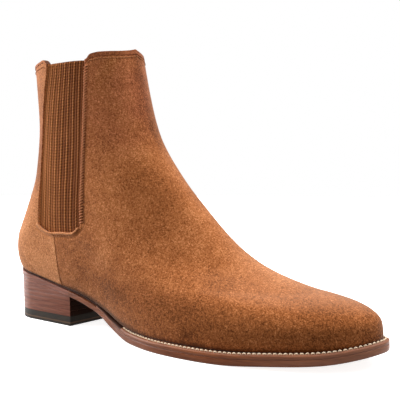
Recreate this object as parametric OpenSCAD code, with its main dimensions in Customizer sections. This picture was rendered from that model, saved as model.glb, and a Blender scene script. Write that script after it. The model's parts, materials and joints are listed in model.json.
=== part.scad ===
// Chelsea boot for the right foot, suede upper on a welted leather sole.
// The toe points along +X, the inner side of the foot is +Y and up is +Z.
// The origin is the middle of the heel's flat bottom face.

/* [Sole] */
// Length of the sole from the back of the heel to the toe
sole_len = 295; // [285:1:305]
// Width of the sole across the ball of the foot
ball_w = 95; // [88:1:100]
// Thickness of the leather outsole
outsole_t = 4.0; // [3.5:0.5:6]
// Thickness of the welt at the forepart
welt_t = 2.5; // [2:0.1:3.5]
// Thickness of the rand round the heel
rand_t = 1.2; // [0.8:0.1:1.6]
// Width of the welt's flat ring, from the sole's edge inwards
welt_ring = 10; // [9:0.5:11]
// Thickness of the insole board
insole_t = 2.6; // [2:0.1:3]
// Thickness of the sock liner
sock_t = 1.2; // [0.8:0.1:1.6]

/* [Heel] */
// Length of the heel along its bottom face
heel_len = 72.5; // [68:0.5:76]
// Width of the heel across its bottom face
heel_w = 58; // [54:1:60]
// Thickness of the rubber top lift
top_lift_t = 7; // [5:0.5:8]
// Thickness of each leather lift
lift_t = 3.8; // [3:0.1:4]
// Diameter of the heel nails
nail_d = 2; // [1.5:0.1:2.5]

/* [Upper] */
// Height of the topline at the front of the shaft
shaft_h = 199; // [190:1:210]
// Thickness of the suede
suede_t = 1.5; // [1.2:0.1:1.6]
// Thickness of the elastic gore, the counter and the toe puff
middle_t = 1.2; // [0.8:0.1:1.2]
// Thickness of the lining leather
lining_t = 1.0; // [0.8:0.1:1.2]
// Distance from the back of the heel to the gore's front edge
gore_front_x = 87.5; // [84:0.5:90]
// Distance from the back of the heel to the gore's rear edge
gore_rear_x = 41; // [39:0.5:44]

/* [Stitching] */
// Pitch of the welt stitches
welt_pitch = 3.2; // [2.8:0.1:4]
// Pitch of the stitches in the upper
upper_pitch = 2.6; // [2.2:0.1:4]

/* [Hidden] */

// The tables below are drawn for this sole length, ball width and shaft height
drawn_len = 295;
drawn_ball_w = 95;
drawn_shaft_h = 199;
kx = sole_len / drawn_len;
kw = ball_w / drawn_ball_w;
// The last is drawn with x from the back of the heel; the part is moved so
// that the origin is under the middle of the heel
heel_back_x = 1.5;
origin_x = heel_back_x + heel_len / 2;
// Clearance between pieces that lie against each other
gap = 0.1;

// Underside of the outsole: [x, z] from the back of the heel to the toe
SOLE_LINE = [
    [-10, 37], [0, 35], [35, 29], [65, 23.3], [85, 19.4], [105, 13.3], [125, 4.5], [145, 0.5],
    [165, 0.05], [190, 0], [215, 0.2], [245, 2.3], [270, 4.4], [295, 9.8], [305, 12.5]
];
// Half width of the sole before its ends are rounded: [x, half width]
SOLE_HALF = [
    [0, 30], [60, 30], [100, 29], [120, 31.7], [140, 37.8], [170, 44.6], [205, 47],
    [235, 46.8], [262, 47.3], [295, 49.5]
];
// Swing of the sole's centre line to the inner side: [x, y]
SWING = [[-20, 0], [50, 0], [100, -2.4], [140, -2.8], [170, -2.7], [205, 0.2], [250, 3.7], [295, 6]];
heel_round = 30;
toe_round = 95;
toe_power = 0.575;

// Shares of the length of a loop of the upper at which its half width is given
XI = [0, 0.15, 0.35, 0.55, 0.72, 0.88, 1];
// Loops of the upper from the feather line to the topline, each given as
// [share, back x, back z, front x, front z, back radius, front radius, 7 half widths]
LOOPS = [
    [0.00, -1.0, 41.5, 291.5, 17.0, 30, 100, 28.5, 29.5, 27.8, 38.0, 41.7, 42.8, 44],
    [0.05, -4.5, 49.0, 291.3, 25.0, 31, 98, 30.0, 31.0, 30.3, 39.6, 43.0, 43.4, 44],
    [0.10, -6.0, 57.0, 286.5, 31.5, 32, 92, 30.5, 31.5, 31.3, 38.9, 41.7, 41.0, 40],
    [0.15, -5.0, 65.0, 274.8, 36.5, 32, 88, 30.5, 31.5, 32.0, 37.0, 39.5, 38.0, 36],
    [0.22, -0.5, 75.0, 250.0, 40.8, 32, 80, 30.0, 31.5, 32.0, 35.5, 36.0, 33.0, 30],
    [0.32, 6.0, 88.0, 214.6, 51.5, 32, 66, 29.5, 31.0, 32.5, 34.0, 32.0, 29.0, 27],
    [0.52, 15.0, 113.0, 164.6, 92.0, 34, 55, 27.5, 29.5, 31.5, 31.5, 29.5, 28.0, 27],
    [0.74, 18.0, 146.0, 127.3, 142.0, 36, 44, 27.0, 28.5, 29.5, 29.5, 28.5, 28.0, 28],
    [1.00, 12.5, 193.1, 111.5, 199.0, 44, 44, 29.0, 29.2, 29.2, 29.2, 29.2, 29.0, 29]
];

// ---- Curves through given points ----

function column(table, c) = [for (row = table) row[c]];
// Slope at point i that keeps the curve from overshooting its points
function slope(X, Y, i) =
    let (n = len(X) - 1)
    i == 0 ? (Y[1] - Y[0]) / (X[1] - X[0]) :
    i == n ? (Y[n] - Y[n - 1]) / (X[n] - X[n - 1]) :
    let (h0 = X[i] - X[i - 1], h1 = X[i + 1] - X[i])
    let (m0 = (Y[i] - Y[i - 1]) / h0, m1 = (Y[i + 1] - Y[i]) / h1)
    m0 * m1 <= 0 ? 0 : 3 * (h0 + h1) / ((2 * h1 + h0) / m0 + (h1 + 2 * h0) / m1);
function slopes(X, Y) = [for (i = [0 : len(X) - 1]) slope(X, Y, i)];
function span(X, x, k = 0) = k >= len(X) - 2 || x < X[k + 1] ? k : span(X, x, k + 1);
function curve(X, Y, D, x) =
    let (k = span(X, x), h = X[k + 1] - X[k], u = (x - X[k]) / h)
    Y[k] * (1 + 2 * u) * (1 - u) ^ 2 + Y[k + 1] * u ^ 2 * (3 - 2 * u)
    + D[k] * (h * u * (1 - u) ^ 2) - D[k + 1] * (h * u ^ 2 * (1 - u));
function mix(a, b, u) = a + (b - a) * u;
function clamp(u) = min(1, max(0, u));
// Share of full width at distance d from an end that is rounded over length r
function rounded(d, r) = d >= r ? 1 : sqrt(max(0, 1 - (1 - d / r) ^ 2));

LINE_X = kx * column(SOLE_LINE, 0);
LINE_Z = column(SOLE_LINE, 1);
LINE_D = slopes(LINE_X, LINE_Z);
HALF_X = kx * column(SOLE_HALF, 0);
HALF_W = kw * column(SOLE_HALF, 1);
HALF_D = slopes(HALF_X, HALF_W);
SWING_X = kx * column(SWING, 0);
SWING_Y = column(SWING, 1);
SWING_D = slopes(SWING_X, SWING_Y);
function sole_z(x) = curve(LINE_X, LINE_Z, LINE_D, x);
function sole_half(x) = curve(HALF_X, HALF_W, HALF_D, x);
function swing(x) = curve(SWING_X, SWING_Y, SWING_D, x);
// Height of the seat of the upper above the outsole's underside. The thin rand
// round the heel thickens into the welt along the waist.
function seat_rise(x) =
    let (u = clamp((x - 95 * kx) / (35 * kx)))
    outsole_t + mix(rand_t, welt_t, u * u * (3 - 2 * u));

// ---- Sole: plan outlines cut out of bands that follow the sole's line ----

outline_steps = 60;
// Outline of the sole drawn in by one inset at the heel and another at the forepart
function sole_outline(heel_in, fore_in) =
    let (x0 = heel_in, x1 = sole_len - fore_in)
    let (side = [for (q = [0 : outline_steps])
        let (x = mix(x0, x1, (1 - cos(180 * q / outline_steps)) / 2))
        let (inset = mix(heel_in, fore_in, clamp((x - 90) / 60)))
        let (ends = rounded(x - x0, heel_round) * rounded(x1 - x, toe_round * kx) ^ (2 * toe_power))
        [x, swing(x), (sole_half(x) - inset) * ends]])
    concat([for (p = side) [p[0], p[1] - p[2]]],
        [for (q = [outline_steps - 1 : -1 : 1]) let (p = side[q]) [p[0], p[1] + p[2]]]);

band_step = 5;
band_depth = 160;
// Solid between two heights above the outsole's underside. With seated set the
// heights count from the seat of the upper.
module sole_band(low, high, low_seated = false, high_seated = false) {
    X = [for (x = [-band_step : band_step : sole_len + band_step]) x];
    lower = [for (x = X) [x, sole_z(x) + low + (low_seated ? seat_rise(x) : 0)]];
    upper = [for (q = [len(X) - 1 : -1 : 0])
        [X[q], sole_z(X[q]) + high + (high_seated ? seat_rise(X[q]) : 0)]];
    rotate([90, 0, 0])
        linear_extrude(height = band_depth, center = true)
            polygon(concat(lower, upper));
}
module plan(heel_in, fore_in) {
    linear_extrude(height = 80)
        polygon(sole_outline(heel_in, fore_in));
}
// Everything between two distances from the back of the heel
module between_x(x0, x1) {
    translate([x0, -band_depth / 2, -20])
        cube([x1 - x0, band_depth, 140]);
}
module place() {
    translate([-origin_x, 0, 0])
        children();
}

// The heel's plan is straight at the sides, round at the back, and tapers down
module heel_plan(z0, z1) {
    draft = 0.035;
    r = heel_w / 2 + draft * z0;
    back = heel_back_x - draft * z0;
    translate([0, 0, z0])
        linear_extrude(height = z1 - z0)
            union() {
                translate([back + r, 0])
                    circle(r = r, $fn = 96);
                translate([back + r, -r])
                    square([heel_back_x + heel_len - back - r, 2 * r]);
            }
}
// Space below the outsole
module under_sole() {
    X = [for (x = [-band_step : band_step : 90]) x];
    rotate([90, 0, 0])
        linear_extrude(height = band_depth, center = true)
            polygon(concat([for (x = X) [x, sole_z(x) - gap]], [[90, -1], [-band_step, -1]]));
}
// Long nails through the lifts, [x, y] from the back of the heel
HEEL_NAILS = [[15, 0], [24, -12], [24, 12], [41, -16], [41, 16], [58, -15], [58, 15]];
// Short nails in the rubber top lift
TOP_NAILS = [[10, 0], [16, -15], [16, 15], [30, -22], [30, 22], [48, -22], [48, 22],
    [66, -20], [66, -7], [66, 7], [66, 20]];
top_nail_d = 1.6;
top_nail_z = 0.4;
module pins(places, d, z0, z1) {
    for (p = places)
        translate([p[0], p[1], z0])
            cylinder(h = z1 - z0, d = d, $fn = 24);
}
module heel_lift(z0, z1, tone) {
    color(tone)
        place()
            difference() {
                intersection() {
                    heel_plan(z0 + gap / 2, z1 - gap / 2);
                    under_sole();
                }
                pins(HEEL_NAILS, nail_d + 2 * gap, top_lift_t - 1, 60);
            }
}

module top_lift() {
    color("#2e2622")
        place()
            difference() {
                heel_plan(0, top_lift_t - gap);
                pins(TOP_NAILS, top_nail_d + 2 * gap, -1, top_lift_t - 1.5);
            }
}
module top_lift_nails() {
    color("#b08d57")
        place()
            pins(TOP_NAILS, top_nail_d, top_nail_z, top_lift_t - 1.6);
}
lift_tones = ["#8a5e4d", "#7d5344", "#8f6452", "#80574a"];
module heel_lift_of(n) {
    z0 = top_lift_t + (n - 1) * lift_t;
    heel_lift(z0, z0 + lift_t, lift_tones[n - 1]);
}
wedge_z0 = top_lift_t + 4 * lift_t;
wedge_split = 4.6;
module heel_wedge_lower() {
    heel_lift(wedge_z0, wedge_z0 + wedge_split, "#85594a");
}
module heel_wedge_upper() {
    heel_lift(wedge_z0 + wedge_split, 40, "#8c6150");
}
module heel_nails() {
    color("#8d8d90")
        place()
            intersection() {
                pins(HEEL_NAILS, nail_d, top_lift_t, 60);
                union() {
                    under_sole();
                    sole_band(-1, insole_t - 0.3, high_seated = true);
                }
            }
}
module outsole() {
    color("#96603f")
        place()
            difference() {
                intersection() {
                    plan(0, 0);
                    sole_band(0, outsole_t - gap);
                }
                pins(HEEL_NAILS, nail_d + 2 * gap, 0, 60);
            }
}
// The welt runs round the forepart, and the rand takes its place round the heel
welt_start = 104;
rand_in = 0.9;
module sole_ring(x0, x1, edge) {
    place()
        intersection() {
            difference() {
                plan(edge, edge);
                plan(welt_ring, welt_ring);
            }
            sole_band(outsole_t, 0, high_seated = true);
            between_x(x0, x1);
        }
}
module heel_rand() {
    color("#4a2c1e")
        sole_ring(-10, welt_start - gap, rand_in);
}
module welt() {
    color("#8a5a3c")
        sole_ring(welt_start, sole_len + 10, 0);
}
module cork_filler() {
    color("#b98a5a")
        place()
            intersection() {
                plan(welt_ring + 0.3, welt_ring + 0.3);
                sole_band(outsole_t + gap, -gap, high_seated = true);
                between_x(136, sole_len);
            }
}
shank_w = 13;
shank_t = 0.8;
module shank() {
    color("#9a9ca0")
        place()
            intersection() {
                translate([48, -shank_w / 2 - 1, -5])
                    cube([86, shank_w, 80]);
                sole_band(outsole_t + gap, outsole_t + gap + shank_t);
            }
}
module insole() {
    color("#c49a6c")
        place()
            difference() {
                intersection() {
                    plan(6.4, 10.6);
                    sole_band(gap, insole_t, low_seated = true, high_seated = true);
                }
                pins(HEEL_NAILS, nail_d + 2 * gap, 0, 60);
            }
}
module sock_liner() {
    color("#a9794f")
        place()
            intersection() {
                plan(6.6, 10.8);
                sole_band(insole_t + gap, insole_t + sock_t, low_seated = true, high_seated = true);
            }
}

// ---- Upper: a skin of loops round the foot, cut into panels on one grid ----

LOOP_T = column(LOOPS, 0);
LOOP_ROWS = [for (r = LOOPS) [
    kx * r[1], r[2] + (shaft_h - drawn_shaft_h) * r[0] ^ 2,
    kx * r[3], r[4] + (shaft_h - drawn_shaft_h) * r[0] ^ 2,
    r[5], r[6],
    kw * r[7], kw * r[8], kw * r[9], kw * r[10], kw * r[11], kw * r[12], kw * r[13]
]];
LOOP_D = [for (i = [0 : len(LOOPS) - 1])
    [for (c = [0 : len(LOOP_ROWS[0]) - 1]) slope(LOOP_T, column(LOOP_ROWS, c), i)]];
function loop(t) = curve(LOOP_T, LOOP_ROWS, LOOP_D, t);
FEATHER = LOOP_ROWS[0];

// Columns of the grid on each side: the front, the gore and the back
front_cols = 14;
gore_cols = 8;
seam_col = front_cols + 5;
gore_end = front_cols + gore_cols;
// Columns at the back as shares of the way from the gore to the middle of the back
BACK_SHARES = [0, 0.07, 0.18, 0.34, 0.54, 0.76, 1];
back_cols = len(BACK_SHARES) - 1;
half_cols = gore_end + back_cols;
cols = 2 * half_cols;

// Edges of the gore and the side seam, as x at height share t
function front_edge_x(t) = kx * (gore_front_x + (t < 0.34 ? 2.5 + 15 * (0.34 - t)
    : 2.5 * clamp((0.6 - t) / 0.26) ^ 2));
function rear_edge_x(t) = kx * (gore_rear_x + 8 * clamp((t - 0.7) / 0.27) ^ 1.5);
function seam_x(t) = kx * (t < 0.25 ? 66.3 - 26 * t : 59.8 + 4 * (t - 0.25));
function angle_of(x, r) = acos(2 * (x - r[0]) / (r[2] - r[0]) - 1);
// Angle along the loop, 0 at the front and 180 at the back, of column k
function col_angle(k, t, r) =
    let (a = angle_of(front_edge_x(t), r))
    k <= front_cols ? a * k / front_cols :
    let (b = angle_of(seam_x(t), r))
    k <= seam_col ? mix(a, b, (k - front_cols) / (seam_col - front_cols)) :
    let (c = angle_of(rear_edge_x(t), r))
    k <= gore_end ? mix(b, c, (k - seam_col) / (gore_end - seam_col)) :
    let (f = k - gore_end, n = min(floor(f), back_cols - 1))
    mix(c, 180, mix(BACK_SHARES[n], BACK_SHARES[n + 1], f - n));

// Point of the outer skin at column k and height share t; side is -1 outside, 1 inside
function skin(k, t, side) =
    let (r = loop(t), a = col_angle(k, t, r), xi = (1 + cos(a)) / 2)
    let (x = mix(r[0], r[2], xi), x_foot = mix(FEATHER[0], FEATHER[2], xi))
    let (W = [for (c = [6 : 12]) r[c]], w = curve(XI, W, slopes(XI, W), xi))
    let (toe = rounded(r[2] - x, r[5]) ^ (1 + 0.08 * clamp(1 - t / 0.3)))
    let (z_foot = sole_z(x_foot) + seat_rise(x_foot) + 1.5 * gap)
    let (dev = z_foot - mix(FEATHER[1], FEATHER[3], xi))
    [x, swing(x_foot) * clamp(1 - t / 0.55) ^ 0.7 + side * w * rounded(x - r[0], r[4]) * toe,
        mix(r[1], r[3], xi) + dev * clamp(1 - t / 0.62) ^ 1.5];

// Height share of the gore's foot, and how far the topline dips, at column k
function foot_t(k) =
    k <= front_cols ? 0.355 :
    k <= gore_end ? let (f = (k - front_cols) / gore_cols)
        0.2515 + (f < 0.625 ? 0.104 : 0.055) * (0.625 - f)
            + 0.0385 * max(0, 1 - f / 0.22) ^ 2 + 0.17 * max(0, f - 0.8) :
    mix(0.265, 0.29, (k - gore_end) / back_cols);
corner_dip = 0.021;
top_sag = 0.012;
rear_dip = 0.018;
function dip(k) =
    k <= front_cols ? top_sag * (1 - (1 - min(1, k / 7)) ^ 2)
        + corner_dip * (1 - sqrt(1 - clamp((k - front_cols + 3.5) / 3.5) ^ 2)) :
    k <= gore_end ? mix(top_sag + corner_dip, rear_dip, (k - front_cols) / gore_cols) :
    rear_dip * max(0, 1 - (k - gore_end) / 1.2) ^ 2;

// Rows of the grid: below the gore's foot, then up to the topline. The back
// strip starts at strip_row, a hair above the heel quarter's top row.
low_rows = 10;
strip_share = 0.1455;
binding_share = 0.965;
UP_SHARES = concat([0, 0.07, 0.14, strip_share],
    [for (q = [1 : 10]) mix(strip_share, binding_share, q / 10)], [1]);
quarter_row = low_rows + 2;
strip_row = quarter_row + 1;
rows = low_rows + len(UP_SHARES) - 1;
function row_t(k, j) = j <= low_rows ? foot_t(k) * j / low_rows
    : mix(foot_t(k), 1 - dip(k), UP_SHARES[j - low_rows]);

function half_col(i) = i <= half_cols ? i : cols - i;
GRID = [for (j = [0 : rows]) [for (i = [0 : cols - 1])
    let (k = half_col(i)) skin(k, row_t(k, j), i <= half_cols ? -1 : 1)]];
function unit(v) = v / norm(v);
NORMALS = [for (j = [0 : rows]) [for (i = [0 : cols - 1])
    let (along = GRID[j][(i + cols - 1) % cols] - GRID[j][(i + 1) % cols])
    let (up = GRID[min(j + 1, rows)][i] - GRID[max(j - 1, 0)][i])
    unit(cross(along, up))]];

// Closed shell over the grid cells that inside(i, j) picks, between two depths
module shell(inside, depth_out, depth_in) {
    n = cols * (rows + 1);
    points = concat(
        [for (j = [0 : rows]) for (i = [0 : cols - 1]) GRID[j][i] - NORMALS[j][i] * depth_out],
        [for (j = [0 : rows]) for (i = [0 : cols - 1]) GRID[j][i] - NORMALS[j][i] * depth_in]);
    faces = [for (j = [0 : rows - 1]) for (i = [0 : cols - 1]) if (inside(i, j))
        let (i2 = (i + 1) % cols, left = (i + cols - 1) % cols)
        let (a = j * cols + i, b = j * cols + i2, c = (j + 1) * cols + i2, d = (j + 1) * cols + i)
        each concat(
            [[a, b, c], [a, c, d], [n + a, n + c, n + b], [n + a, n + d, n + c]],
            j == 0 || !inside(i, j - 1) ? [[a, n + b, b], [a, n + a, n + b]] : [],
            j == rows - 1 || !inside(i, j + 1) ? [[d, c, n + c], [d, n + c, n + d]] : [],
            !inside(left, j) ? [[a, d, n + d], [a, n + d, n + a]] : [],
            !inside(i2, j) ? [[b, n + c, c], [b, n + b, n + c]] : [])];
    place()
        polyhedron(points = points, faces = faces, convexity = 12);
}

// Panels as sets of cells. Cell column i lies between grid columns i and i + 1.
function cell_col(i) = i < half_cols ? i : cols - 1 - i;
in_front = function (i, j) let (k = cell_col(i)) k < (j < low_rows ? seam_col : front_cols);
in_quarter = function (i, j) let (k = cell_col(i))
    j < quarter_row && k >= (j < low_rows ? seam_col : gore_end);
in_strip = function (i, j) j >= strip_row && cell_col(i) >= gore_end;
gore_lap_rows = 2;
in_gore = function (i, j) let (k = cell_col(i))
    j >= low_rows - gore_lap_rows && k >= front_cols - 1 && k <= gore_end;
in_gore_lateral = function (i, j) i < half_cols && in_gore(i, j);
in_gore_medial = function (i, j) i >= half_cols && in_gore(i, j);
in_counter = function (i, j) let (k = cell_col(i))
    k >= seam_col - 2 && j < (k > gore_end + 1 ? quarter_row : low_rows - gore_lap_rows - 1);
in_binding_front = function (i, j) j == rows - 1 && cell_col(i) < front_cols;
in_binding_back = function (i, j) j == rows - 1 && cell_col(i) >= gore_end;
in_puff = function (i, j) cell_col(i) < 6 && j < 6;

middle_depth = suede_t + gap;
lining_depth = middle_depth + middle_t + gap;
inner_depth = lining_depth + lining_t;

module front_panel() {
    color("#a0663f") shell(in_front, 0, suede_t);
}
module heel_quarter() {
    color("#b5784c") shell(in_quarter, 0, suede_t);
}
module back_strip() {
    color("#b5784c") shell(in_strip, 0, suede_t);
}
module gore_lateral() {
    color("#6f4127") shell(in_gore_lateral, middle_depth, middle_depth + middle_t);
}
module gore_medial() {
    color("#6f4127") shell(in_gore_medial, middle_depth, middle_depth + middle_t);
}
// The turned strips that bind the topline lie on the suede
binding_t = 0.6;
module topline_binding_front() {
    color("#8a5534") shell(in_binding_front, -gap - binding_t, -gap);
}
module topline_binding_back() {
    color("#8a5534") shell(in_binding_back, -gap - binding_t, -gap);
}
module heel_counter() {
    color("#c9a678") shell(in_counter, middle_depth, middle_depth + middle_t);
}
module toe_puff() {
    color("#c9a678") shell(in_puff, middle_depth, middle_depth + middle_t);
}
module front_lining() {
    color("#b98d63") shell(in_front, lining_depth, inner_depth);
}
module heel_lining() {
    color("#b98d63") shell(in_quarter, lining_depth, inner_depth);
}
module back_strip_lining() {
    color("#b98d63") shell(in_strip, lining_depth, inner_depth);
}

// ---- Piping and stitching ----

// Round tube along a path of points
module tube(path, r, sides = 8) {
    n = len(path);
    T = [for (i = [0 : n - 1]) unit(path[min(i + 1, n - 1)] - path[max(i - 1, 0)])];
    U = [for (t = T) unit(cross(t, [0, 0, 1]))];
    points = [for (i = [0 : n - 1]) for (s = [0 : sides - 1])
        path[i] + r * (cos(360 * s / sides) * U[i] + sin(360 * s / sides) * cross(T[i], U[i]))];
    walls = [for (i = [0 : n - 2]) for (s = [0 : sides - 1])
        let (a = i * sides + s, b = i * sides + (s + 1) % sides)
        each [[a, a + sides, b + sides], [a, b + sides, b]]];
    ends = [[for (s = [0 : sides - 1]) s], [for (s = [sides - 1 : -1 : 0]) (n - 1) * sides + s]];
    place()
        polyhedron(points = points, faces = concat(walls, ends), convexity = 8);
}
piping_r = 1.1;
// Depth of a bead that sits just clear of the suede in front of the gore
piping_out = piping_r + gap;
module gore_piping(side) {
    path = [for (k = [front_cols + 0.1 : 0.6 : gore_end - 0.1])
        skin(k, foot_t(k), side) + skin_normal(k, foot_t(k), side) * piping_out];
    color("#b98058")
        tube(path, piping_r);
}
// Outward normal of the skin at any column and height
function skin_normal(k, t, side) =
    let (dk = 0.2, dt = 0.01)
    let (along = skin(max(k - dk, 0), t, side) - skin(min(k + dk, half_cols), t, side))
    let (up = skin(k, min(t + dt, 1), side) - skin(k, t - dt, side))
    unit(cross(along, up)) * -side;

// Points at an even pitch along a path
function run_lengths(path, i = 0, sum = 0, out = []) =
    i >= len(path) ? out :
    let (s = i == 0 ? 0 : sum + norm(path[i] - path[i - 1]))
    run_lengths(path, i + 1, s, concat(out, [s]));
function point_at(path, S, s) =
    let (k = span(S, s)) mix(path[k], path[k + 1], (s - S[k]) / (S[k + 1] - S[k]));

// A row of small flat thread bars: each is [centre, direction, normal]
module stitches(bars, length, width, height) {
    corners = [for (z = [0, 1]) for (c = [[-1, -1], [1, -1], [1, 1], [-1, 1]]) [c[0], c[1], z]];
    points = [for (b = bars) let (t = unit(b[1]), n = unit(b[2]), s = cross(n, t))
        for (c = corners)
            b[0] + t * c[0] * length / 2 + s * c[1] * width / 2 + n * (gap / 2 + c[2] * height)];
    faces = [for (q = [0 : len(bars) - 1]) for (f = [
            [0, 1, 2, 3], [4, 7, 6, 5], [0, 4, 5, 1], [1, 5, 6, 2], [2, 6, 7, 3], [3, 7, 4, 0]])
        [for (v = f) q * 8 + v]];
    place()
        polyhedron(points = points, faces = faces, convexity = 8);
}
thread_inset = 2.0;
thread_start_x = 127;
module welt_stitching() {
    O = sole_outline(thread_inset, thread_inset);
    // The outline starts at the heel, goes out along the outer side and comes back
    path = [for (p = O) if (p[0] > thread_start_x) p];
    S = run_lengths(path);
    bars = [for (s = [welt_pitch : welt_pitch : S[len(S) - 1] - welt_pitch])
        let (p = point_at(path, S, s), d = point_at(path, S, s + 0.5) - point_at(path, S, s - 0.5))
        let (z = sole_z(p[0]) + seat_rise(p[0]), x2 = p[0] + d[0])
        let (t = [d[0], d[1], sole_z(x2) + seat_rise(x2) - z])
        [[p[0], p[1], z + gap], t, cross(t, cross([0, 0, 1], t))]];
    color("#e6d9bf")
        stitches(bars, welt_pitch * 0.8, 0.9, 0.6);
}
stitch_in = 0.55;
stitch_lift = 0.1;
module gore_stitching(side) {
    T = [for (q = [0 : 40]) mix(0.37, 0.943, q / 40)];
    path = [for (t = T) skin(front_cols - stitch_in, t, side)];
    S = run_lengths(path);
    bars = [for (s = [upper_pitch : upper_pitch : S[len(S) - 1] - upper_pitch])
        let (t = mix(T[0], T[40], s / S[len(S) - 1]))
        let (p = skin(front_cols - stitch_in, t, side), n = skin_normal(front_cols - stitch_in, t, side))
        let (d = skin(front_cols - stitch_in, t + 0.01, side) - p)
        [p + n * stitch_lift, cross(n, d), n]];
    color("#81502f")
        stitches(bars, 2.2, 0.7, 0.35);
}
topline_in = 0.033;
function topline_stitch_t(k) = 1 - dip(k) - topline_in;
module topline_stitching(k0, k1) {
    K = [for (q = [-1 : 1 / 24 : 1]) q];
    function col_at(u) = k0 == 0 ? k1 * abs(u) : mix(k1, k0, abs(u));
    path = [for (u = K) let (k = col_at(u)) skin(k, topline_stitch_t(k), u < 0 ? -1 : 1)];
    S = run_lengths(path);
    count = floor(S[len(S) - 1] / upper_pitch) - 1;
    bars = [for (q = [1 : count])
        let (u = mix(-1, 1, q / (count + 1)), side = u < 0 ? -1 : 1, k = col_at(u))
        let (p = skin(k, topline_stitch_t(k), side), k2 = col_at(u + (u < 0 ? 0.02 : -0.02)))
        let (d = skin(k2, topline_stitch_t(k2), side) - p)
        let (n = skin_normal(k, topline_stitch_t(k), side))
        [p + n * stitch_lift, d, n]];
    color("#c08a5e")
        stitches(bars, 1.9, 0.6, 0.3);
}

top_lift();
top_lift_nails();
heel_lift_of(1);  // heel_lift_1
heel_lift_of(2);  // heel_lift_2
heel_lift_of(3);  // heel_lift_3
heel_lift_of(4);  // heel_lift_4
heel_wedge_lower();
heel_wedge_upper();
heel_nails();
outsole();
heel_rand();
welt();
welt_stitching();
cork_filler();
shank();
insole();
sock_liner();
front_panel();
heel_quarter();
back_strip();
gore_lateral();
gore_medial();
gore_piping(-1);  // gore_piping_lateral
gore_piping(1);  // gore_piping_medial
gore_stitching(-1);  // gore_stitching_lateral
gore_stitching(1);  // gore_stitching_medial
topline_binding_front();
topline_binding_back();
topline_stitching(0, front_cols - 1);  // topline_stitching_front
topline_stitching(half_cols, gore_end + 1);  // topline_stitching_back
heel_counter();
toe_puff();
front_lining();
heel_lining();
back_strip_lining();
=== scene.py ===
"""A right chelsea boot in brown suede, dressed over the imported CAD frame.

The skin of the upper is read back from the CAD panels as one grid of rows and columns. Each visible
panel, seam, rib and stitch is then laid out on that grid.
"""
import json
import math

import bmesh
import bpy
import numpy as np
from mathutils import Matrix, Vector
from mathutils.kdtree import KDTree


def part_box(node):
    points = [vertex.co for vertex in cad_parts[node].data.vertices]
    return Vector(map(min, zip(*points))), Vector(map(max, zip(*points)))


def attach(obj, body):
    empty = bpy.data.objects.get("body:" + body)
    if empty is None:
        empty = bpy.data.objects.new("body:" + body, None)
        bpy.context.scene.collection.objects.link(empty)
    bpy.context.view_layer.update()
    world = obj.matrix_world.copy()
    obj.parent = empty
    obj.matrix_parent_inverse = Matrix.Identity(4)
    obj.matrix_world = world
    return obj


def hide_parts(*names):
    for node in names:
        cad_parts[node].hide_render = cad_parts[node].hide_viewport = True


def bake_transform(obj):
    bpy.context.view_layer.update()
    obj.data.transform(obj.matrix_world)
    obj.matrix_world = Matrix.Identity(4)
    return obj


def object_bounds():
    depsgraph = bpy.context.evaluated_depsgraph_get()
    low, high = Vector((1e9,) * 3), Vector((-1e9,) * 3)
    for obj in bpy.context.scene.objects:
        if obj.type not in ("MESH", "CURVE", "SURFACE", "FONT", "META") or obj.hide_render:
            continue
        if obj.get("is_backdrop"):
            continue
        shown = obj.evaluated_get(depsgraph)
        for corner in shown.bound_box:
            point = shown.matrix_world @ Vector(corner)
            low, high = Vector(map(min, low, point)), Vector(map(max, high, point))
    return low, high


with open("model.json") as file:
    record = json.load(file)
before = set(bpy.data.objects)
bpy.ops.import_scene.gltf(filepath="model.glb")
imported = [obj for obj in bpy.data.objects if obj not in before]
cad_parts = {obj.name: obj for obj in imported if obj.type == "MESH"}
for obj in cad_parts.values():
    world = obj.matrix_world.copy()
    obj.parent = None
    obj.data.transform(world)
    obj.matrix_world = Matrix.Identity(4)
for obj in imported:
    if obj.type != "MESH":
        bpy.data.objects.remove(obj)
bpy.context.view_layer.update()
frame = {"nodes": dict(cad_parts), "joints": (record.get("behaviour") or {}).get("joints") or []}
MM = 0.001
FAR = 9.0       # metres, past every part of the boot


def unit(vectors):
    return vectors / np.linalg.norm(vectors, axis=-1, keepdims=True)


def run_along(path):
    """Length along a path of points, from its start to each of them."""
    return np.concatenate([[0], np.cumsum(np.linalg.norm(np.diff(path, axis=0), axis=1))])


def ramp(values, start, width):
    """0 before start, 1 past start + width, straight in between. A negative width mirrors it."""
    return np.clip((values - start) / width, 0, 1)


def hump(values, middle, width):
    return np.exp(-((values - middle) / width) ** 2)


# ---------------------------------------------------------------- reading the frame

def welded(node):
    """Points and triangles of a CAD node, with doubled points joined."""
    mesh = frame["nodes"][node].data
    mesh.calc_loop_triangles()
    co = np.empty(len(mesh.vertices) * 3)
    mesh.vertices.foreach_get("co", co)
    co = co.reshape(-1, 3)
    tri = np.empty(len(mesh.loop_triangles) * 3, int)
    mesh.loop_triangles.foreach_get("vertices", tri)
    keys = np.round(co * 1e6).astype(np.int64)
    _, first, joined = np.unique(keys, axis=0, return_index=True, return_inverse=True)
    tri = joined.ravel()[tri].reshape(-1, 3)
    real = (tri[:, 0] != tri[:, 1]) & (tri[:, 1] != tri[:, 2]) & (tri[:, 0] != tri[:, 2])
    return co[first], tri[real]


def edge_owners(tri):
    """The triangles on each edge."""
    owners = {}
    for t, corners in enumerate(tri):
        for k in range(3):
            p, q = int(corners[k]), int(corners[(k + 1) % 3])
            owners.setdefault((min(p, q), max(p, q)), []).append(t)
    return owners


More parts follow.
